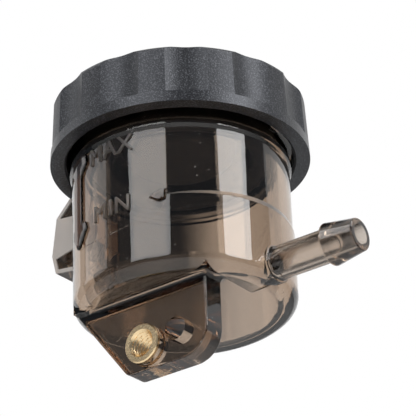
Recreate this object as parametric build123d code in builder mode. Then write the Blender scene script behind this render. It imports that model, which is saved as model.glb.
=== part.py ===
from build123d import *
from math import cos, radians, sin, sqrt, tan
import os

# Brake fluid reservoir with a screw cap, in millimetres.
# The origin is on the axis of the brass insert, in the front face of the mounting plate.
# +Z runs up towards the cap, +X along the hose nozzle, and the plate faces -Y.

# Cup, measured from its flat bottom and its own vertical axis
cup_radius = 25.0
cup_wall = 2.6
floor_thickness = 2.0
bottom_round = 3.3
inner_bottom_round = 2.4
neck_height = 47.0
rim_chamfer = 0.4
cup_axis_y = 15.5
cup_base_z = 12.0

# Bead round the cup just under the cap, whose foot lies this far below the cap's skirt
bead_drop = 3.8
bead_rise = 0.8
bead_band = 1.1
bead_projection = 0.5

# Thicker lower zone of the wall on the nozzle side, which dies out at both ends
pad_height = 17.6
pad_bevel_height = 1.4
pad_offset = 0.8
pad_projection = 0.5
pad_lift = 0.02

# Screw thread between the neck and the cap
thread_pitch = 4.0
thread_height = 1.0
thread_base = 1.6
thread_crest = 0.8
thread_root_sink = 0.2
thread_arc = 150.0
thread_skirt_gap = 1.3
neck_thread_angle = 15.0
thread_stretches = 3
thread_clearance = 0.3

# Hose nozzle
nozzle_height = 4.6
nozzle_radius = 3.8
nozzle_bore_radius = 2.4
nozzle_reach = 22.1
nozzle_root_round = 0.6
barb_length = 7.8
barb_radius = 4.9
barb_tip_radius = 3.75
barb_tip_round = 0.4
barb_heel_round = 0.4

# Mounting plate under the cup, whose hole and ejector mark are set out from the insert
plate_thickness = 5.6
plate_edge_round = 0.4
plate_bottom_margin = 6.2
plate_right_margin = 8.5
plate_left_inset = 1.1
plate_left_bottom = -4.6
plate_left_round = 2.5
plate_right_round = 6.5
plate_root_round = 1.3
plate_root_reach = 1.35
plate_root_rise = 3.0
plate_root_trim = 0.1
locating_hole_x = 8.7
locating_hole_z = 1.2
locating_hole_radius = 2.7
ejector_mark_x = -7.9
ejector_mark_z = 5.4
ejector_mark_radius = 2.7
ejector_mark_depth = 0.15

# How near an edge must lie to a place to be picked there
root_tolerance = 0.01

# Shallow sloping facet on the bottom, beside the nozzle
facet_gap = 1.0
facet_slope = 5.0

# Brass threaded insert, moulded into the plate, whose rim stands proud of the front face
insert_radius = 4.5
insert_proud = 0.8
insert_rim_chamfer = 0.25
insert_waist_radius = 4.0
insert_waist_length = 1.8
insert_bore_radius = 2.5
insert_mouth_chamfer = 0.7
insert_fit = 0.02

# Lug opposite the nozzle, which takes the clip that stops the cap from turning
lug_width = 10.0
lug_web = 1.6
lug_skin = 0.9
lug_top_gap = 0.5
lug_root_drop = 19.5
lug_root_sink = 1.0
lug_pocket_gap = 0.6

# Corners of the lug's outline, each by its reach from the cup's wall and its drop from the lug's top
lug_top_reach = 4.4
lug_shoulder = (8.4, 3.9)
lug_belly = (9.8, 13.5)
lug_foot = (8.7, 18.1)

# Drops of the middle block's top and bottom from the lug's top, at its outer and its inner end
lug_block_outer = (3.9, 14.6)
lug_block_inner = (5.1, 12.8)

# Cap
cap_wall = 3.7
cap_overlap = 9.0
cap_taper = 2.2
cap_top_round = 1.4
cap_top_thickness = 2.4
skirt_mouth_chamfer = 0.5
scallop_count = 12
scallop_angle = 10.9
scallop_width = 9.5
scallop_depth = 1.0
scallop_start = 2.7

# Thrust ring under the roof of the cap, and the bead that clips it and the diaphragm into the cap
ring_thickness = 1.4
ring_width = 13.0
ring_side_gap = 0.3
running_gap = 0.05
vent_groove_count = 4
vent_groove_width = 2.0
vent_groove_depth = 0.5
clip_bead_gap = 0.4
clip_bead_height = 0.8

# Rubber diaphragm, which hangs in the neck from its flange and is clipped into the cap under the ring
diaphragm_flange = 1.8
diaphragm_wall = 1.1
diaphragm_side_gap = 0.4
diaphragm_depth = 12.0
diaphragm_fold_width = 4.6
diaphragm_fold_height = 7.0
diaphragm_floor_rise = 2.0
diaphragm_fold_round = 2.0

# Planes and axes that the pieces share
cup_axis = Axis((0, cup_axis_y, 0), (0, 0, 1))
nozzle_axis = Axis((0, cup_axis_y, cup_base_z + nozzle_height), (1, 0, 0))
plate_plane = Plane((0, 0, cup_base_z), x_dir=(1, 0, 0), z_dir=(0, -1, 0))
insert_axis = Axis((0, 0, 0), (0, 1, 0))

# Sizes that follow from the ones above
cup_bore = cup_radius - cup_wall
cap_bottom = neck_height - cap_overlap
bead_height = cap_bottom - bead_drop
bead_radius = cup_radius + bead_projection
nozzle_root = cup_radius + pad_projection
nozzle_tip = cup_radius + nozzle_reach
plate_depth = cup_base_z + plate_bottom_margin
plate_left_top = plate_left_inset - sqrt(cup_radius**2 - cup_axis_y**2)
plate_right = locating_hole_x + plate_right_margin
facet_left = plate_right + facet_gap
lug_root = cup_radius - lug_root_sink
lug_pocket_root = cup_radius + lug_pocket_gap
bead_top = bead_height + 2 * bead_rise + bead_band
pad_radius = cup_radius + pad_projection - pad_offset
lug_top = cap_bottom - lug_top_gap
lug_root_height = lug_top - lug_root_drop
neck_thread_start = cap_bottom + thread_skirt_gap
thread_radius = cup_radius + thread_height
cap_bore = thread_radius + thread_clearance
cap_radius = cap_bore + cap_wall
barb_start = nozzle_tip - barb_length
flange_top = neck_height + diaphragm_flange
ring_bottom = flange_top + running_gap
ring_top = ring_bottom + ring_thickness
ring_radius = cap_bore - ring_side_gap
ring_hole_radius = ring_radius - ring_width
cap_roof = ring_top + running_gap
cap_top = cap_roof + cap_top_thickness
cap_height = cap_top - cap_bottom
cap_top_radius = cap_radius - cap_height * tan(radians(cap_taper))
clip_bead_top = neck_height - running_gap
clip_bead_bottom = clip_bead_top - clip_bead_height
clip_bead_radius = cup_radius + clip_bead_gap
scallop_radius = (scallop_width**2 / 4 + scallop_depth**2) / (2 * scallop_depth)
scallop_land = cap_radius - scallop_start * tan(radians(cap_taper))
scallop_chord = sqrt(scallop_land**2 - scallop_width**2 / 4)
scallop_centre = scallop_chord - scallop_depth + scallop_radius


def upright(x=0, y=cup_axis_y, height=0):
    """Plane seen from the plate's side, whose second coordinate is the height above the cup's bottom."""
    return Plane((x, y, cup_base_z + height), x_dir=(1, 0, 0), z_dir=(0, -1, 0))


def round_bottomed(radius, round_radius, height):
    """Half section of a cylinder with a rounded bottom edge, open at the top for more lines."""
    Line((0, 0), (radius - round_radius, 0))
    RadiusArc((radius - round_radius, 0), (radius, round_radius), -round_radius)
    Line((radius, round_radius), (radius, height))


def thread_turn(radius, start_height, start_angle, outward):
    """One stretch of thread: a trapezoid ridge swept up a helix on a wall of this radius."""
    side = 1 if outward else -1
    angle = radians(start_angle)
    start = Plane((0, cup_axis_y, cup_base_z + start_height), x_dir=(cos(angle), sin(angle), 0))
    with BuildLine(start) as path:
        Helix(pitch=thread_pitch, height=thread_pitch * thread_arc / 360, radius=radius)
    outwards = (cos(angle) * side, sin(angle) * side, 0)
    with BuildSketch(Plane(path.line @ 0, x_dir=outwards, z_dir=path.line % 0)) as ridge:
        with BuildLine():
            Polyline(
                (-thread_root_sink, -thread_base / 2),
                (thread_height, -thread_crest / 2),
                (thread_height, thread_crest / 2),
                (-thread_root_sink, thread_base / 2),
                close=True,
            )
        make_face()
    return sweep(ridge.sketch, path=path.line, is_frenet=True, mode=Mode.PRIVATE)


def insert_outline(gap):
    """Outside of the brass insert in the plate, two bands with a waist between, grown by the gap."""
    waist_start = (plate_thickness - insert_waist_length) / 2
    waist_end = waist_start + insert_waist_length
    return [
        (insert_radius + gap, waist_start + gap),
        (insert_waist_radius + gap, waist_start + gap),
        (insert_waist_radius + gap, waist_end - gap),
        (insert_radius + gap, waist_end - gap),
        (insert_radius + gap, plate_thickness + gap),
    ]


# Cup: one moulding with its neck thread, nozzle, mounting plate and lug
with BuildPart() as reservoir_cup:
    # Mounting plate, whose root spreads under the cup with a fillet along its front, back and right end
    with BuildSketch(upright(y=0)):
        with BuildLine():
            FilletPolyline(
                (plate_left_top, 0),
                (plate_left_bottom, -plate_depth),
                (plate_right, -plate_depth),
                (plate_right, 0),
                radius=[plate_left_round, plate_right_round],
            )
            Line((plate_right, 0), (plate_left_top, 0))
        make_face()
    extrude(amount=-plate_thickness)
    plate_edges = [
        edge
        for edge in reservoir_cup.edges()
        if edge.bounding_box().size.Y < root_tolerance
        and edge.center().Z < cup_base_z - root_tolerance
    ]
    fillet(plate_edges, radius=plate_edge_round)
    with BuildSketch(Plane((plate_left_top, plate_thickness / 2, cup_base_z))):
        Rectangle(
            plate_right + plate_root_reach - plate_left_top,
            plate_thickness + 2 * plate_root_reach,
            align=(Align.MIN, Align.CENTER),
        )
    extrude(amount=plate_root_rise)
    root_edges = [
        edge
        for edge in reservoir_cup.edges()
        if abs(edge.center().Z - cup_base_z) < root_tolerance
        and abs(edge.bounding_box().size.Z) < root_tolerance
        and abs(edge.center().Y - plate_thickness / 2) < plate_thickness / 2 + root_tolerance
        and plate_left_top + root_tolerance < edge.center().X < plate_right + root_tolerance
    ]
    fillet(root_edges, radius=plate_root_round)
    with BuildSketch(Plane((0, cup_axis_y, cup_base_z - plate_depth))):
        Circle(cup_radius - plate_root_trim)
    extrude(amount=plate_depth + plate_root_rise, mode=Mode.INTERSECT)

    # Outside of the cup, with the bead under the cap
    with BuildSketch(upright()):
        with BuildLine():
            round_bottomed(cup_radius, bottom_round, bead_height)
            Polyline(
                (cup_radius, bead_height),
                (bead_radius, bead_height + bead_rise),
                (bead_radius, bead_height + bead_rise + bead_band),
                (cup_radius, bead_top),
                (cup_radius, neck_height - rim_chamfer),
                (cup_radius - rim_chamfer, neck_height),
                (0, neck_height),
                (0, 0),
            )
        make_face()
    revolve(axis=cup_axis)

    # Pad on the nozzle side, turned about an axis of its own so that it dies out at both ends.
    # It starts a little above the cup's flat bottom.
    pad_top = pad_height - pad_lift
    with BuildSketch(upright(x=pad_offset, height=pad_lift)):
        with BuildLine():
            round_bottomed(pad_radius, bottom_round, pad_top)
            Polyline(
                (pad_radius, pad_top),
                (pad_radius - pad_projection, pad_top + pad_bevel_height),
                (0, pad_top + pad_bevel_height),
                (0, 0),
            )
        make_face()
    revolve(axis=Axis((pad_offset, cup_axis_y, 0), (0, 0, 1)))

    # Facet that slopes up from the bottom towards the nozzle, on the plate's side only
    facet_reach = cup_radius + pad_projection
    with BuildSketch(upright()):
        with BuildLine():
            Polyline(
                (facet_left, 0),
                (facet_reach, 0),
                (facet_reach, (facet_reach - facet_left) * tan(radians(facet_slope))),
                close=True,
            )
        make_face()
    extrude(amount=cup_radius, mode=Mode.SUBTRACT)

    # Hose nozzle with its barb
    with BuildSketch(upright(height=nozzle_height)):
        with BuildLine():
            Polyline(
                (nozzle_root, nozzle_radius + nozzle_root_round),
                (cup_bore, nozzle_radius + nozzle_root_round),
                (cup_bore, 0),
                (nozzle_tip, 0),
                (nozzle_tip, barb_tip_radius - barb_tip_round),
            )
            RadiusArc(
                (nozzle_tip, barb_tip_radius - barb_tip_round),
                (nozzle_tip - barb_tip_round, barb_tip_radius),
                -barb_tip_round,
            )
            FilletPolyline(
                (nozzle_tip - barb_tip_round, barb_tip_radius),
                (barb_start, barb_radius),
                (barb_start, nozzle_radius),
                (nozzle_root + nozzle_root_round, nozzle_radius),
                radius=[barb_heel_round, 0],
            )
            RadiusArc(
                (nozzle_root + nozzle_root_round, nozzle_radius),
                (nozzle_root, nozzle_radius + nozzle_root_round),
                nozzle_root_round,
            )
        make_face()
    revolve(axis=nozzle_axis)

    # Lug, with pockets cored into both sides round a middle block
    with BuildSketch(upright()) as lug_side:
        with BuildLine():
            Polyline(
                (-lug_root, lug_root_height),
                (-cup_radius - lug_foot[0], lug_top - lug_foot[1]),
                (-cup_radius - lug_belly[0], lug_top - lug_belly[1]),
                (-cup_radius - lug_shoulder[0], lug_top - lug_shoulder[1]),
                (-cup_radius - lug_top_reach, lug_top),
                (-lug_root, lug_top),
                close=True,
            )
        make_face()
    extrude(amount=lug_width / 2, both=True)
    for side in (1, -1):
        with BuildSketch(upright(y=cup_axis_y - side * lug_web / 2)):
            add(lug_side.sketch_local)
            offset(amount=-lug_skin, mode=Mode.REPLACE)
            with BuildLine():
                Polyline(
                    (-cup_radius - lug_belly[0], lug_top - lug_block_outer[1]),
                    (-cup_radius - lug_belly[0], lug_top - lug_block_outer[0]),
                    (-lug_pocket_root, lug_top - lug_block_inner[0]),
                    (-lug_pocket_root, lug_top - lug_block_inner[1]),
                    close=True,
                )
            make_face(mode=Mode.SUBTRACT)
            with BuildLine():
                Polyline(
                    (-lug_pocket_root, lug_root_height),
                    (-lug_pocket_root, lug_top),
                    (-lug_root, lug_top),
                    (-lug_root, lug_root_height),
                    close=True,
                )
            make_face(mode=Mode.SUBTRACT)
        extrude(amount=side * (lug_width - lug_web) / 2, mode=Mode.SUBTRACT)

    # Neck thread
    for stretch in range(thread_stretches):
        add(
            thread_turn(
                radius=cup_radius,
                start_height=neck_thread_start + thread_pitch * stretch / 2,
                start_angle=neck_thread_angle + 180 * stretch,
                outward=True,
            )
        )

    # Inside of the cup, and the nozzle's bore from there to the tip
    with BuildSketch(upright(height=floor_thickness)):
        with BuildLine():
            round_bottomed(cup_bore, inner_bottom_round, neck_height)
            Polyline((cup_bore, neck_height), (0, neck_height), (0, 0))
        make_face()
    revolve(axis=cup_axis, mode=Mode.SUBTRACT)
    bore_start = Vector(cup_bore - inner_bottom_round, 0, 0)
    with BuildSketch(Plane(nozzle_axis.position + bore_start, z_dir=(1, 0, 0))):
        Circle(nozzle_bore_radius)
    extrude(amount=nozzle_tip, mode=Mode.SUBTRACT)

    # Seat of the insert, locating hole and ejector mark in the plate
    with BuildSketch(Plane.XY):
        with BuildLine():
            Polyline(
                (0, -insert_fit),
                (insert_radius + insert_fit, -insert_fit),
                *insert_outline(insert_fit),
                (0, plate_thickness + insert_fit),
                close=True,
            )
        make_face()
    revolve(axis=insert_axis, mode=Mode.SUBTRACT)
    with BuildSketch(upright(y=0)):
        with Locations((locating_hole_x, locating_hole_z - cup_base_z)):
            Circle(locating_hole_radius)
    extrude(amount=-plate_thickness, mode=Mode.SUBTRACT)
    with BuildSketch(upright(y=0)):
        with Locations((ejector_mark_x, ejector_mark_z - cup_base_z)):
            Circle(ejector_mark_radius)
    extrude(amount=-ejector_mark_depth, mode=Mode.SUBTRACT)

# Brass insert: a turned bush with two knurled bands, tapped right through
with BuildPart() as threaded_insert:
    with BuildSketch(Plane.XY):
        with BuildLine():
            Polyline(
                (insert_bore_radius + insert_mouth_chamfer, -insert_proud),
                (insert_radius - insert_rim_chamfer, -insert_proud),
                (insert_radius, insert_rim_chamfer - insert_proud),
                *insert_outline(0),
                (insert_bore_radius + insert_mouth_chamfer, plate_thickness),
                (insert_bore_radius, plate_thickness - insert_mouth_chamfer),
                (insert_bore_radius, insert_mouth_chamfer - insert_proud),
                close=True,
            )
        make_face()
    revolve(axis=insert_axis)

# Rubber diaphragm: a flange on the rim of the neck, and a folded bag inside it
with BuildPart() as diaphragm:
    with BuildSketch(upright()):
        bag_side = cup_bore - diaphragm_side_gap - diaphragm_wall / 2
        bag_bottom = flange_top - diaphragm_depth
        fold_top = bag_bottom + diaphragm_fold_height
        with BuildLine() as bag:
            FilletPolyline(
                (bag_side, flange_top),
                (bag_side, bag_bottom),
                (bag_side - diaphragm_fold_width, bag_bottom),
                (bag_side - diaphragm_fold_width, fold_top),
                (bag_side - 2 * diaphragm_fold_width, fold_top),
                (bag_side - 2 * diaphragm_fold_width, bag_bottom + diaphragm_floor_rise),
                (0, bag_bottom + diaphragm_floor_rise),
                radius=diaphragm_fold_round,
            )
        trace(line_width=diaphragm_wall)
        with BuildLine():
            Polyline(
                (bag_side, neck_height),
                (ring_radius, neck_height),
                (ring_radius, flange_top),
                (bag_side, flange_top),
                close=True,
            )
        make_face()
    revolve(axis=cup_axis)

# Thrust ring: a flat plastic ring between the diaphragm and the roof of the cap.
# Grooves across its top lead air from the skirt to the space above the diaphragm.
with BuildPart() as thrust_ring:
    with BuildSketch(upright()):
        with BuildLine():
            Polyline(
                (ring_hole_radius, ring_bottom),
                (ring_radius, ring_bottom),
                (ring_radius, ring_top),
                (ring_hole_radius, ring_top),
                close=True,
            )
        make_face()
    revolve(axis=cup_axis)
    with BuildSketch(Plane((0, cup_axis_y, cup_base_z + ring_top))):
        with PolarLocations(ring_radius, vent_groove_count):
            Rectangle(
                ring_width + vent_groove_width,
                vent_groove_width,
                align=(Align.MAX, Align.CENTER),
            )
    extrude(amount=-vent_groove_depth, mode=Mode.SUBTRACT)

# Screw cap, with a scalloped grip, an inside thread and the bead that holds the ring and the diaphragm
with BuildPart() as screw_cap:
    with BuildSketch(upright()):
        with BuildLine():
            FilletPolyline(
                (cap_radius, cap_bottom),
                (cap_top_radius, cap_top),
                (0, cap_top),
                radius=cap_top_round,
            )
            Polyline(
                (0, cap_top),
                (0, cap_roof),
                (cap_bore, cap_roof),
                (cap_bore, clip_bead_top),
                (clip_bead_radius, clip_bead_top),
                (clip_bead_radius, clip_bead_bottom),
                (cap_bore, clip_bead_bottom),
                (cap_bore, cap_bottom + skirt_mouth_chamfer),
                (cap_bore + skirt_mouth_chamfer, cap_bottom),
                (cap_radius, cap_bottom),
            )
        make_face()
    revolve(axis=cup_axis)
    with BuildSketch(Plane((0, cup_axis_y, cup_base_z + cap_bottom + scallop_start))):
        with PolarLocations(scallop_centre, scallop_count, start_angle=scallop_angle):
            Circle(scallop_radius)
    extrude(amount=cap_height, taper=-cap_taper, mode=Mode.SUBTRACT)
    # The cap's thread runs midway between the turns of the neck's, half a turn on from its start
    for stretch in range(thread_stretches):
        add(
            thread_turn(
                radius=cap_bore,
                start_height=neck_thread_start + thread_pitch * stretch / 2,
                start_angle=neck_thread_angle + 180 * (stretch + 1),
                outward=False,
            )
        )

os.makedirs("parts", exist_ok=True)

reservoir_cup.part.label = "reservoir_cup"
export_step(reservoir_cup.part, "parts/reservoir_cup.step")

threaded_insert.part.label = "threaded_insert"
export_step(threaded_insert.part, "parts/threaded_insert.step")

diaphragm.part.label = "diaphragm"
export_step(diaphragm.part, "parts/diaphragm.step")

thrust_ring.part.label = "thrust_ring"
export_step(thrust_ring.part, "parts/thrust_ring.step")

screw_cap.part.label = "screw_cap"
export_step(screw_cap.part, "parts/screw_cap.step")
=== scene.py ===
import math

import bmesh
import bpy
from mathutils import Matrix, Vector


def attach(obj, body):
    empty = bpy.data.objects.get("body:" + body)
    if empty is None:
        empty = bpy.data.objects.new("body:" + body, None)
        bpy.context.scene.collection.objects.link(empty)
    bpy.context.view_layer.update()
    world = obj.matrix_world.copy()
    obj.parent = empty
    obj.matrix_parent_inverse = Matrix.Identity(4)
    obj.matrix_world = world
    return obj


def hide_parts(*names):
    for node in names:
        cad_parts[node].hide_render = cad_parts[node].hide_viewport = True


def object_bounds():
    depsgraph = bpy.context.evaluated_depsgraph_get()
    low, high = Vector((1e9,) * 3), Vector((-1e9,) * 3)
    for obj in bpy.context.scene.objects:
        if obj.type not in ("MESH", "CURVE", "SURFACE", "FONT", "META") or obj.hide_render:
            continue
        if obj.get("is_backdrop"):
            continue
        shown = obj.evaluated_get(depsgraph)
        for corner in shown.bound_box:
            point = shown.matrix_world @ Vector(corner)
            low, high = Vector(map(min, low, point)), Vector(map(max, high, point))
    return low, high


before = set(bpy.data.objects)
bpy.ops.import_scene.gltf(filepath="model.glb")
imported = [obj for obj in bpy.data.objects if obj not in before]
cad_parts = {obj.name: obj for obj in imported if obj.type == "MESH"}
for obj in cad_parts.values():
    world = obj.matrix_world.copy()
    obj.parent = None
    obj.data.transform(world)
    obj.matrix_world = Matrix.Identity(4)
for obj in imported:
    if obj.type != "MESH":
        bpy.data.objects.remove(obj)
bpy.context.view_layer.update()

# The view: the reservoir seen from below its nozzle side, as on a shop's white page.
# A long lens stands about half a metre away, so the cup's sides look nearly parallel.
scene = bpy.context.scene
camera_eye = Vector((0.257736, -0.327293, -0.184666))
camera_right = Vector((0.79574, 0.60455, -0.03623))
camera_up = Vector((0.30530, -0.34874, 0.88610))
camera_back = Vector((0.52306, -0.71617, -0.46207))
lens = bpy.data.cameras.new("long_lens")
lens.sensor_width = 36.0
lens.lens = 183.25
lens.clip_start = 0.01
lens.clip_end = 20.0
camera = bpy.data.objects.new("camera", lens)
scene.collection.objects.link(camera)
turn = Matrix((camera_right, camera_up, camera_back)).transposed().to_4x4()
camera.matrix_world = Matrix.Translation(camera_eye) @ turn
scene.camera = camera
scene.view_settings.view_transform = "Standard"


# The studio: three tall soft lamps stand round the front, and mirror as upright bands in the cup.
# The backdrop is plain white, and the pale floor lies well below the hanging part.
# Dark glowing sheets, met only in reflections and through the plastic, paint dark reflections, shade and shadow
# round the cup, and keep it from washing out.
def linear(code):
    """sRGB hex colour as linear red, green, blue and alpha."""
    parts = [int(code[i:i + 2], 16) / 255 for i in (0, 2, 4)]
    return [*[c / 12.92 if c <= 0.04045 else ((c + 0.055) / 1.055) ** 2.4 for c in parts], 1.0]


def put(tree, kind, settings, inputs):
    """Adds a node with its properties, and sets each input or links a socket to it."""
    made = tree.nodes.new(kind)
    for name, value in settings.items():
        setattr(made, name, value)
    for name, value in inputs.items():
        if isinstance(value, bpy.types.NodeSocket):
            tree.links.new(value, made.inputs[name])
        else:
            made.inputs[name].default_value = value
    return made


# The middle of the cup's flat bottom, and the point above it that the lamps face
cup_foot = Vector((0.0, 0.0155, 0.012))
lamp_aim = cup_foot + Vector((0.0, 0.0, 0.02))
lamp_distance = 1.0
lamp_radiance = 4.0
lamp_height = 0.85
lamp_elevation = 35.0
# Each lamp's bearing from the plate's facing side towards the nozzle, its width and its share of the light
lamps = {"left_lamp": (-65.0, 0.58, 0.3), "front_lamp": (2.0, 0.64, 0.93), "right_lamp": (92.0, 0.5, 1.75)}
for name, (bearing, width, share) in lamps.items():
    lamp = bpy.data.lights.new(name, "AREA")
    lamp.shape = "RECTANGLE"
    lamp.size = width
    lamp.size_y = lamp_height
    lamp.energy = lamp_radiance * share * math.pi * width * lamp_height
    stand = bpy.data.objects.new(name, lamp)
    around, up = math.radians(bearing), math.radians(lamp_elevation)
    away = Vector((math.sin(around) * math.cos(up), -math.cos(around) * math.cos(up), math.sin(up)))
    stand.location = lamp_aim + away * lamp_distance
    stand.rotation_euler = away.to_track_quat("Z", "Y").to_euler()
    stand.visible_camera = False
    scene.collection.objects.link(stand)

# The air of the studio lights the object softly, and shows as plain white
ambient = 0.45
world = bpy.data.worlds.new("studio")
world.use_nodes = True
scene.world = world
air = world.node_tree
air.nodes.clear()
path = put(air, "ShaderNodeLightPath", {}, {})
seen = put(air, "ShaderNodeMath", {"operation": "MAXIMUM"},
           {0: path.outputs["Is Camera Ray"], 1: path.outputs["Is Transmission Ray"]})
seen = put(air, "ShaderNodeMath", {"operation": "MAXIMUM"},
           {0: seen.outputs[0], 1: path.outputs["Is Glossy Ray"]})
dim = put(air, "ShaderNodeBackground", {}, {"Color": linear("ffffff"), "Strength": ambient})
white = put(air, "ShaderNodeBackground", {}, {"Color": linear("ffffff"), "Strength": 1.0})
mixed = put(air, "ShaderNodeMixShader", {}, {0: seen.outputs[0], 1: dim.outputs[0], 2: white.outputs[0]})
put(air, "ShaderNodeOutputWorld", {}, {"Surface": mixed.outputs[0]})


def material(name):
    """New empty material: the material itself and its node tree."""
    made = bpy.data.materials.new(name)
    made.use_nodes = True
    made.node_tree.nodes.clear()
    return made, made.node_tree


# Matt white paper takes the object's shadow. A glow for the camera alone lifts it to the backdrop's white
floor_depth = -0.34
floor_size = 8.0
floor_glow = 0.45
paper, tree = material("matt_white_paper")
path = put(tree, "ShaderNodeLightPath", {}, {})
matt = put(tree, "ShaderNodeBsdfDiffuse", {}, {"Color": linear("e8e8e8")})
glow = put(tree, "ShaderNodeEmission", {}, {"Color": linear("ffffff"), "Strength": floor_glow})
both = put(tree, "ShaderNodeAddShader", {}, {0: matt.outputs[0], 1: glow.outputs[0]})
mixed = put(tree, "ShaderNodeMixShader", {},
            {0: path.outputs["Is Camera Ray"], 1: matt.outputs[0], 2: both.outputs[0]})
put(tree, "ShaderNodeOutputMaterial", {}, {"Surface": mixed.outputs[0]})
sheet = bpy.data.meshes.new("floor")
half = floor_size / 2
sheet.from_pydata([(-half, -half, floor_depth), (half, -half, floor_depth),
                   (half, half, floor_depth), (-half, half, floor_depth)], [], [(0, 1, 2, 3)])
sheet.materials.append(paper)
floor = bpy.data.objects.new("floor", sheet)
scene.collection.objects.link(floor)
floor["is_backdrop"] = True


def card(name, points, faces, made, rays):
    """A studio card that only the named kind of rays meets, so it gives no shadow and isn't in the picture."""
    sheet = bpy.data.meshes.new(name)
    sheet.from_pydata(points, [], faces)
    sheet.materials.append(made)
    board = bpy.data.objects.new(name, sheet)
    for kind in ("camera", "diffuse", "glossy", "transmission", "volume_scatter", "shadow"):
        setattr(board, "visible_" + kind, kind == rays)
    scene.collection.objects.link(board)
    board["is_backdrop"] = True
    return board


# Two dark glowing sheets stand behind the lamps, so the clear walls mirror bright bands on a dark ground: painted
# reflection and painted shade.
# One is met only by reflections: a painted reflection of a dark studio in the walls, glowing a cool dark grey.
# The other is met only through the plastic: painted shade that darkens the bent edges
cloth_radius = 1.5
cloth_low, cloth_high = -0.35, 1.6
cloth_strips = 48
# Each painted sheet's kind of rays, the bearings of its two ends, and its brightness
painted_dark_sheets = (("glossy", -97, 135, 0.22), ("transmission", -68, 145, 0.05))
faces = [(2 * i, 2 * i + 1, 2 * i + 3, 2 * i + 2) for i in range(cloth_strips)]
for rays, start, end, brightness in painted_dark_sheets:
    cloth, tree = material("painted_reflection_and_shade_glow_" + rays)
    # The glow stands in for light on a dark cloth: painted reflection for glossy rays, painted shade for
    # transmission rays
    glow = put(tree, "ShaderNodeEmission", {}, {"Color": linear("dee4f0"), "Strength": brightness})
    put(tree, "ShaderNodeOutputMaterial", {}, {"Surface": glow.outputs[0]})
    points = []
    for strip in range(cloth_strips + 1):
        around = math.radians(start + (end - start) * strip / cloth_strips)
        for height in (cloth_low, cloth_high):
            points.append((cloth_radius * math.sin(around), -cloth_radius * math.cos(around), height))
    card("painted_reflection_and_shade_sheet_" + rays, points, faces, cloth, rays)

# A dark glowing sheet behind the left half, met only through the plastic, is a painted shadow: it darkens what is
# seen through the cup there, as the object's own shadow on a table would, and fades out to the right.
# It faces the lens, and its places are in metres to the right of the middle of the view, or above it
flag_distance = 0.83
flag_left, flag_right, flag_low, flag_high = -0.14, 0.40, -0.40, 0.40
# Each fade: 0 for across or 1 for up, where it starts and ends, the brightness at each end, and its curve
fades = {"right": (0, -0.009, 0.028, 0.0, 1.0, "SMOOTHSTEP"), "left": (0, -0.095, -0.120, 0.0, 1.0, "SMOOTHSTEP"),
         "low": (1, -0.028, -0.040, 0.03, 0.10, "SMOOTHSTEP"), "bottom": (1, -0.095, -0.115, 1.0, 0.05, "LINEAR")}
shade, tree = material("painted_shadow_faded_sheet")
place = put(tree, "ShaderNodeTexCoord", {}, {})
across = put(tree, "ShaderNodeSeparateXYZ", {}, {0: place.outputs["Object"]})
fade = {}
for edge, (axis, start, end, first, last, curve) in fades.items():
    fade[edge] = put(tree, "ShaderNodeMapRange", {"interpolation_type": curve}, {
        "Value": across.outputs[axis], "From Min": start, "From Max": end, "To Min": first, "To Max": last})
lit = put(tree, "ShaderNodeMath", {"operation": "MAXIMUM"}, {
    0: fade["right"].outputs[0], 1: fade["left"].outputs[0]})
lit = put(tree, "ShaderNodeMath", {"operation": "MAXIMUM"}, {0: lit.outputs[0], 1: fade["low"].outputs[0]})
lit = put(tree, "ShaderNodeMath", {"operation": "MULTIPLY"}, {0: lit.outputs[0], 1: fade["bottom"].outputs[0]})
# Painted shadow: the glow is dark behind the left half of the view and rises towards white round it
glow = put(tree, "ShaderNodeEmission", {}, {"Color": linear("ffffff"), "Strength": lit.outputs[0]})
put(tree, "ShaderNodeOutputMaterial", {}, {"Surface": glow.outputs[0]})
points = [(flag_left, flag_low, 0), (flag_right, flag_low, 0), (flag_right, flag_high, 0), (flag_left, flag_high, 0)]
flag = card("painted_shadow_sheet", points, [(0, 1, 2, 3)], shade, "transmission")
flag.matrix_world = Matrix.Translation(camera_eye - camera_back * flag_distance) @ turn


# The cup: one clear moulding in smoke-tinted polyamide, with its nozzle, plate and lug.
# The mould was polished, so the walls are glossy with a faint ripple, and the edges gather the brown tint.
# It hangs from its bracket by the screw through the plate's brass insert.
def dress(node, made):
    """Gives a carried-over node its one material."""
    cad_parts[node].data.materials.clear()
    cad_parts[node].data.materials.append(made)


MM = 0.001
# Shrinkage ripple of a thick clear wall, a few millimetres from crest to crest
ripple_mm = 6.0
ripple_depth_mm = 0.05


def rippled(tree, place):
    """The moulded wall's ripple as a bump, for a clear material."""
    ripple = put(tree, "ShaderNodeTexNoise", {}, {
        "Vector": place.outputs["Object"], "Scale": 1000 / ripple_mm, "Detail": 1.0})
    return put(tree, "ShaderNodeBump", {}, {
        "Height": ripple.outputs[0], "Strength": 0.25, "Distance": ripple_depth_mm * MM})


# Clear tinted polyamide mirrors the lamps sharply, and is paler where it is thin
clear_ior = 1.53
smoke_tint = linear("af8100")
smoke, tree = material("clear_smoke_polyamide_polished_mould")
place = put(tree, "ShaderNodeTexCoord", {}, {})
flow = rippled(tree, place)
# The nozzle comes from a side core with less polish, so it is hazy past its heel
polished, nozzle_finish = 0.03, 0.13
nozzle_start, nozzle_end = 0.0262, 0.0285
along = put(tree, "ShaderNodeSeparateXYZ", {}, {0: place.outputs["Object"]})
nozzle_haze = put(tree, "ShaderNodeMapRange", {"interpolation_type": "SMOOTHSTEP"}, {
    "Value": along.outputs[0], "From Min": nozzle_start, "From Max": nozzle_end,
    "To Min": polished, "To Max": nozzle_finish})
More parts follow.
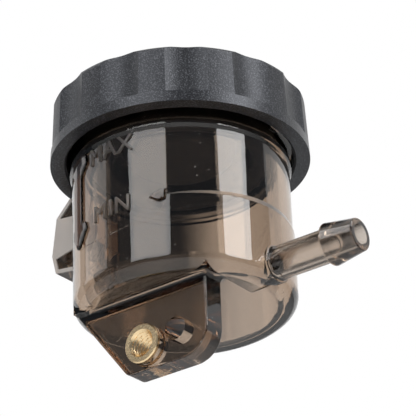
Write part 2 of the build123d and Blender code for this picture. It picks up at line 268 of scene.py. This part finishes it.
# The lug's side faces are matt from the file that dressed the mould, and look grey and milky
lug_finish = 0.40
past_wall = put(tree, "ShaderNodeMapRange", {}, {
    "Value": along.outputs[0], "From Min": -0.0254, "From Max": -0.0262, "To Min": 0.0, "To Max": 1.0})
off_middle = put(tree, "ShaderNodeMath", {"operation": "SUBTRACT"}, {0: along.outputs[1], 1: cup_foot.y})
off_middle = put(tree, "ShaderNodeMath", {"operation": "ABSOLUTE"}, {0: off_middle.outputs[0]})
side_face = put(tree, "ShaderNodeMapRange", {}, {
    "Value": off_middle.outputs[0], "From Min": 0.0044, "From Max": 0.0049, "To Min": 0.0, "To Max": 1.0})
skin = put(tree, "ShaderNodeMath", {"operation": "MULTIPLY"}, {0: past_wall.outputs[0], 1: side_face.outputs[0]})
lug_haze = put(tree, "ShaderNodeMapRange", {}, {
    "Value": skin.outputs[0], "To Min": polished, "To Max": lug_finish})
# Dust and nicks of handling: pale dots a quarter of a millimetre across, some millimetres apart
dot_gap_mm = 2.0
dot_share = 0.6
dust = put(tree, "ShaderNodeTexVoronoi", {}, {"Vector": place.outputs["Object"], "Scale": 1000 / dot_gap_mm})
dot = put(tree, "ShaderNodeMapRange", {}, {
    "Value": dust.outputs[0], "From Min": 0.05, "From Max": 0.09, "To Min": dot_share, "To Max": 0.0})
least_clear = 0.62
worn = put(tree, "ShaderNodeMath", {"operation": "MAXIMUM"}, {0: skin.outputs[0], 1: dot.outputs[0]})
clear = put(tree, "ShaderNodeMapRange", {}, {"Value": worn.outputs[0], "To Min": 1.0, "To Max": least_clear})
haze = put(tree, "ShaderNodeMath", {"operation": "MAXIMUM"}, {0: nozzle_haze.outputs[0], 1: lug_haze.outputs[0]})
body = put(tree, "ShaderNodeBsdfPrincipled", {}, {
    "Base Color": linear("e6e0da"), "Roughness": haze.outputs[0], "IOR": clear_ior,
    "Transmission Weight": clear.outputs[0], "Normal": flow.outputs[0]})
tint = put(tree, "ShaderNodeVolumeAbsorption", {}, {"Color": smoke_tint, "Density": 160.0})
put(tree, "ShaderNodeOutputMaterial", {}, {"Surface": body.outputs[0], "Volume": tint.outputs[0]})
dress("reservoir_cup", smoke)

# The level marks: two words and a double pointer, engraved in the mould, so they stand up from the wall.
# They are part of the cup's moulding and of the same clear polyamide.
# The engraver's cutter left the letters matt, so they catch a soft grey light on the dark wall.
engraved, tree = material("clear_smoke_polyamide_engraved_mould")
place = put(tree, "ShaderNodeTexCoord", {}, {})
# The cutter's marks are a few hundredths of a millimetre apart, and are drawn ten times as coarse to show
cutter_mm = 0.3
cutter = put(tree, "ShaderNodeTexNoise", {}, {
    "Vector": place.outputs["Object"], "Scale": 1000 / cutter_mm, "Detail": 1.0})
etch = put(tree, "ShaderNodeMapRange", {}, {"Value": cutter.outputs[0], "To Min": 0.28, "To Max": 0.42})
body = put(tree, "ShaderNodeBsdfPrincipled", {}, {
    "Base Color": linear("b8b0a8"), "Roughness": etch.outputs[0], "IOR": clear_ior, "Transmission Weight": 1.0})
put(tree, "ShaderNodeOutputMaterial", {}, {"Surface": body.outputs[0]})
# The wall's outside radius, how deep a mark is sunk in it, and the longest flat step round it, in millimetres
wall_radius = 25.0
mark_sunk = 0.05
bend_step = 0.8


def wrap(name, flat, proud, bearing, height, rounding, stroke_gain, made):
    """Thickens a flat outline in millimetres and bends it round the cup's wall, centred on a bearing and height."""
    half_thick = (proud + mark_sunk) / 2
    flat.dimensions, flat.fill_mode = "2D", "BOTH"
    flat.resolution_u = 4
    flat.bevel_depth, flat.bevel_resolution = rounding, 1
    flat.offset, flat.extrude = stroke_gain - rounding, half_thick - rounding
    blank = bpy.data.objects.new(name + "_blank", flat)
    shape = bpy.data.meshes.new_from_object(blank)
    bpy.data.objects.remove(blank)
    work = bmesh.new()
    work.from_mesh(shape)
    bmesh.ops.remove_doubles(work, verts=work.verts, dist=0.001)
    across = [v.co.x for v in work.verts]
    along = [v.co.y for v in work.verts]
    middle_x, middle_y = (min(across) + max(across)) / 2, (min(along) + max(along)) / 2
    cuts = int((max(across) - min(across)) / bend_step)
    for cut in range(1, cuts + 1):
        parts = work.verts[:] + work.edges[:] + work.faces[:]
        bmesh.ops.bisect_plane(work, geom=parts, dist=0.0001, plane_no=(1, 0, 0),
                               plane_co=(min(across) + cut * bend_step, 0, 0))
    for corner in work.verts:
        around = math.radians(bearing) + (corner.co.x - middle_x) / wall_radius
        reach = wall_radius + corner.co.z + half_thick - mark_sunk
        corner.co = cup_foot + MM * Vector((
            reach * math.sin(around), -reach * math.cos(around), height + corner.co.y - middle_y))
    work.to_mesh(shape)
    work.free()
    shape.shade_smooth()
    shape.set_sharp_from_angle(angle=math.radians(30))
    shape.materials.append(made)
    mark = bpy.data.objects.new(name, shape)
    scene.collection.objects.link(mark)
    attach(mark, "cup")


word_height = 4.0
word_proud = 0.45
word_bearing = -1.2
# Capitals stand 0.73 of the letter size high in the built-in face
capital_share = 0.73
letter_spacing = 1.12
letter_rounding, letter_gain = 0.12, 0.08
for word, height in (("MAX", 32.1), ("MIN", 17.4)):
    letters = bpy.data.curves.new("level_word", "FONT")
    letters.body = word
    letters.size = word_height / capital_share
    letters.space_character = letter_spacing
    wrap("level_word_" + word, letters, word_proud, word_bearing, height, letter_rounding, letter_gain, engraved)


def wrap_outline(name, corners, proud, rounding, made):
    """Raises a closed outline, given as bearings and heights of its corners, from the cup's wall."""
    flat = bpy.data.curves.new(name, "CURVE")
    edge = flat.splines.new("POLY")
    edge.points.add(len(corners) - 1)
    for corner, (bearing, height) in zip(edge.points, corners):
        corner.co = (math.radians(bearing) * wall_radius, height, 0, 1)
    edge.use_cyclic_u = True
    bearings = [bearing for bearing, height in corners]
    heights = [height for bearing, height in corners]
    wrap(name, flat, proud, (min(bearings) + max(bearings)) / 2, (min(heights) + max(heights)) / 2,
         rounding, 0, made)


# The raised pointers and the pad's edge are as glossy as the wall, but carry fifteen times its tint: painted shade,
# so they read nearly black
painted_shade_polyamide, tree = material("clear_smoke_polyamide_with_painted_shade")
place = put(tree, "ShaderNodeTexCoord", {}, {})
flow = rippled(tree, place)
body = put(tree, "ShaderNodeBsdfPrincipled", {}, {
    "Base Color": linear("c8c0b8"), "Roughness": 0.05, "IOR": clear_ior,
    "Transmission Weight": 1.0, "Normal": flow.outputs[0]})
# Fifteen times the cup's tint density: painted shade on these thin marks
tint = put(tree, "ShaderNodeVolumeAbsorption", {}, {"Color": smoke_tint, "Density": 2400.0})
put(tree, "ShaderNodeOutputMaterial", {}, {"Surface": body.outputs[0], "Volume": tint.outputs[0]})
# The pointers and the bar that joins them
pointer = [(-29, 12.0), (-26.5, 12.2), (-19, 15.6), (-20, 17.3), (-24, 17.4), (-24, 29.6), (-18.3, 32.0),
           (-19.5, 34.3), (-34.5, 34.3), (-35, 31.5), (-33, 30.5), (-33, 17.5), (-36, 17.3), (-35.5, 15.5)]
wrap_outline("level_pointer", pointer, 0.6, 0.15, painted_shade_polyamide)
# The pointed end of the pad's top edge, which runs out on the wall towards the words
tip = [(20.7, 17.3), (23.75, 18.2), (26.3, 18.7), (29.3, 18.95), (29.3, 16.5), (26.2, 16.1), (23.5, 16.4)]
wrap_outline("pad_edge_tip", tip, 0.7, 0.3, painted_shade_polyamide)

# The parting line: a fine raised seam in the cup's polyamide, where the halves of the mould met.
# It runs across the wall, up to the edge of the pad, and along the bottom to the nozzle.
seam_radius = 0.08


def seam(name, points):
    """A thin round bead, half sunk in the face, through points in millimetres."""
    line = bpy.data.curves.new(name, "CURVE")
    line.dimensions = "3D"
    line.bevel_depth, line.bevel_resolution = seam_radius * MM, 1
    line.use_fill_caps = True
    run = line.splines.new("POLY")
    run.points.add(len(points) - 1)
    for knot, spot in zip(run.points, points):
        knot.co = (*(cup_foot + MM * Vector(spot)), 1)
    blank = bpy.data.objects.new(name + "_blank", line)
    shape = bpy.data.meshes.new_from_object(blank)
    bpy.data.objects.remove(blank)
    shape.materials.clear()
    shape.materials.append(smoke)
    bead = bpy.data.objects.new(name, shape)
    scene.collection.objects.link(bead)
    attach(bead, "cup")


# Bearings and heights of the seam's bends on the wall, each stretch drawn in four steps
wall_seam = [(-27.7, 11.85), (-16, 11.3), (-4.5, 10.98), (2.5, 11.25), (9.2, 11.7), (19.4, 11.65),
             (23.5, 12.5), (26.2, 13.8), (27.7, 15.0), (28.0, 16.2)]
seam_steps = 4
points = []
for (start, low), (end, high) in zip(wall_seam, wall_seam[1:]):
    for step in range(seam_steps):
        around = math.radians(start + (end - start) * step / seam_steps)
        points.append((wall_radius * math.sin(around), -wall_radius * math.cos(around),
                       low + (high - low) * step / seam_steps))
seam("wall_parting_line", points)
seam("bottom_parting_line", [(18.2, -9.9, 0), (18.2, 0, 0), (21.4, 0, 0)])

# The insert: a small bush turned from brass bar, knurled in two bands and tapped M6.
# The moulding is shot round it, and its rim stands proud to take the screw's load.
# Its freshly cut faces are bright, with fine lathe rings and a slightly uneven shine.
brass, tree = material("turned_brass")
place = put(tree, "ShaderNodeTexCoord", {}, {})
uneven_mm = 0.4
uneven = put(tree, "ShaderNodeTexNoise", {}, {
    "Vector": place.outputs["Object"], "Scale": 1000 / uneven_mm, "Detail": 2.0})
shine = put(tree, "ShaderNodeMapRange", {}, {"Value": uneven.outputs[0], "To Min": 0.16, "To Max": 0.34})
# Rings of the lathe's feed are finer than a pixel, so they are drawn a quarter of a millimetre apart.
# A wave of scale 1 has a ring every 20 / 2 pi
ring_mm = 0.25
ring_scale = 2 * math.pi / 20 * 1000 / ring_mm
ring = put(tree, "ShaderNodeTexWave", {"wave_type": "RINGS", "rings_direction": "Y"}, {
    "Vector": place.outputs["Object"], "Scale": ring_scale, "Distortion": 0.4})
cut_marks = put(tree, "ShaderNodeBump", {}, {
    "Height": ring.outputs["Fac"], "Strength": 0.3, "Distance": 0.02 * MM})
body = put(tree, "ShaderNodeBsdfPrincipled", {}, {
    "Base Color": linear("f2d7aa"), "Metallic": 1.0, "Roughness": shine.outputs[0],
    "Normal": cut_marks.outputs[0]})
put(tree, "ShaderNodeOutputMaterial", {}, {"Surface": body.outputs[0]})

bush_sides = 144
bush_length, bush_proud, bush_radius, waist_radius = 5.6, 0.8, 4.5, 4.0
bore_radius, mouth_chamfer, rim_chamfer = 2.5, 0.7, 0.25
thread_pitch, thread_depth = 1.0, 0.5
knurl_teeth, knurl_depth = 36, 0.16
knurl_root = bush_radius - knurl_depth
# Each outside row: how far in from the plate's face, its radius, and how much of the knurl it has
outside = [(-bush_proud, bush_radius - rim_chamfer, 0), (rim_chamfer - bush_proud, bush_radius, 0),
           (0.05, bush_radius, 0), (0.15, bush_radius, 1), (1.75, bush_radius, 1), (1.9, knurl_root, 0),
           (1.9, waist_radius, 0), (3.7, waist_radius, 0), (3.7, knurl_root, 0),
           (3.85, bush_radius, 1), (5.4, bush_radius, 1), (bush_length, knurl_root, 0)]
bore_rows = 80
loops = []
for depth, radius, share in outside:
    loop = []
    for side in range(bush_sides):
        tooth = abs((side * knurl_teeth / bush_sides) % 1 - 0.5) * 2
        loop.append((depth, radius - share * knurl_depth * tooth, side))
    loops.append(loop)
for row in range(bore_rows + 1):
    depth = bush_length - (bush_length + bush_proud) * row / bore_rows
    flare = bore_radius + max(0, mouth_chamfer - (depth + bush_proud), mouth_chamfer - (bush_length - depth))
    loop = []
    for side in range(bush_sides):
        turned = (depth / thread_pitch + side / bush_sides) % 1
        groove = bore_radius + thread_depth * max(0, min(1, 1.25 - abs(turned - 0.5) * 2.5))
        loop.append((depth, max(flare, groove), side))
    loops.append(loop)
shape = bpy.data.meshes.new("tapped_bush")
work = bmesh.new()
rings = []
for loop in loops:
    ring = []
    for depth, radius, side in loop:
        around = 2 * math.pi * side / bush_sides
        ring.append(work.verts.new(MM * Vector((radius * math.cos(around), depth, radius * math.sin(around)))))
    rings.append(ring)
for first, second in zip(rings, rings[1:] + rings[:1]):
    for side in range(bush_sides):
        after = (side + 1) % bush_sides
        work.faces.new((first[side], first[after], second[after], second[side]))
bmesh.ops.recalc_face_normals(work, faces=work.faces)
work.to_mesh(shape)
work.free()
shape.shade_smooth()
shape.set_sharp_from_angle(angle=math.radians(25))
shape.materials.append(brass)
bush = bpy.data.objects.new("tapped_bush", shape)
scene.collection.objects.link(bush)
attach(bush, "cup")
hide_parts("threaded_insert")

# The diaphragm: soft black rubber, moulded as a folded bag, which keeps the air off the fluid.
# It is clipped in the cap under the thrust ring, and its flange seals the neck's rim.
# The rubber is matt, with a faint bloom in patches.
rubber, tree = material("moulded_black_rubber")
place = put(tree, "ShaderNodeTexCoord", {}, {})
bloom_mm = 5.0
bloom = put(tree, "ShaderNodeTexNoise", {}, {
    "Vector": place.outputs["Object"], "Scale": 1000 / bloom_mm, "Detail": 3.0})
tone = put(tree, "ShaderNodeMix", {"data_type": "RGBA"}, {
    0: bloom.outputs[0], 6: linear("1e1e20"), 7: linear("323236")})
body = put(tree, "ShaderNodeBsdfPrincipled", {}, {"Base Color": tone.outputs[2], "Roughness": 0.55})
put(tree, "ShaderNodeOutputMaterial", {}, {"Surface": body.outputs[0]})
dress("diaphragm", rubber)

# The thrust ring: a flat ring cut from natural acetal sheet, which lets the cap turn on the rubber.
# It lies loose in the cap, under its roof, and looks milky and slightly waxy.
acetal, tree = material("natural_acetal_sheet")
place = put(tree, "ShaderNodeTexCoord", {}, {})
cloud_mm = 3.0
cloud = put(tree, "ShaderNodeTexNoise", {}, {
    "Vector": place.outputs["Object"], "Scale": 1000 / cloud_mm, "Detail": 2.0})
tone = put(tree, "ShaderNodeMix", {"data_type": "RGBA"}, {
    0: cloud.outputs[0], 6: linear("d8d5cc"), 7: linear("e4e1d8")})
body = put(tree, "ShaderNodeBsdfPrincipled", {}, {"Base Color": tone.outputs[2], "Roughness": 0.4})
put(tree, "ShaderNodeOutputMaterial", {}, {"Surface": body.outputs[0]})
dress("thrust_ring", acetal)

# The screw cap: black polypropylene from a spark-eroded mould, with a scalloped grip.
# It screws on the cup's neck and presses the ring and the diaphragm on its rim.
# The fine pits of the mould leave a dry, dark grey surface; its pale specks are painted glints on the pits' high
# points.
grip, tree = material("black_polypropylene_spark_eroded")
place = put(tree, "ShaderNodeTexCoord", {}, {})
# The pits are a tenth of a millimetre across, and are drawn three times as coarse to show
pit_mm = 0.32
pit_depth_mm = 0.07
pits = put(tree, "ShaderNodeTexNoise", {}, {
    "Vector": place.outputs["Object"], "Scale": 1000 / pit_mm, "Detail": 1.5, "Roughness": 0.6})
rough = put(tree, "ShaderNodeBump", {}, {
    "Height": pits.outputs[0], "Strength": 0.6, "Distance": pit_depth_mm * MM})
# Pale specks on the pits' high points are painted glints, the sparkle of light on the pitted surface; the dark grey
# between is the plastic's own colour
tone = put(tree, "ShaderNodeMapRange", {}, {
    "Value": pits.outputs[0], "From Min": 0.5, "From Max": 0.68, "To Min": 0.0, "To Max": 1.0})
painted_glint_speck = put(tree, "ShaderNodeMix", {"data_type": "RGBA"}, {
    0: tone.outputs[0], 6: linear("08090b"), 7: linear("47484c")})
# The plain band under the scallops is smoother than they are
rim_top = 0.0528
upright = put(tree, "ShaderNodeSeparateXYZ", {}, {0: place.outputs["Object"]})
dry = put(tree, "ShaderNodeMapRange", {}, {
    "Value": upright.outputs[2], "From Min": rim_top, "From Max": rim_top + 0.3 * MM,
    "To Min": 0.34, "To Max": 0.42})
body = put(tree, "ShaderNodeBsdfPrincipled", {}, {
    "Base Color": painted_glint_speck.outputs[2], "Roughness": dry.outputs[0], "Specular IOR Level": 0.40,
    "Specular Tint": linear("ecf0fa"), "Normal": rough.outputs[0]})
put(tree, "ShaderNodeOutputMaterial", {}, {"Surface": body.outputs[0]})
dress("screw_cap", grip)

low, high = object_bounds()
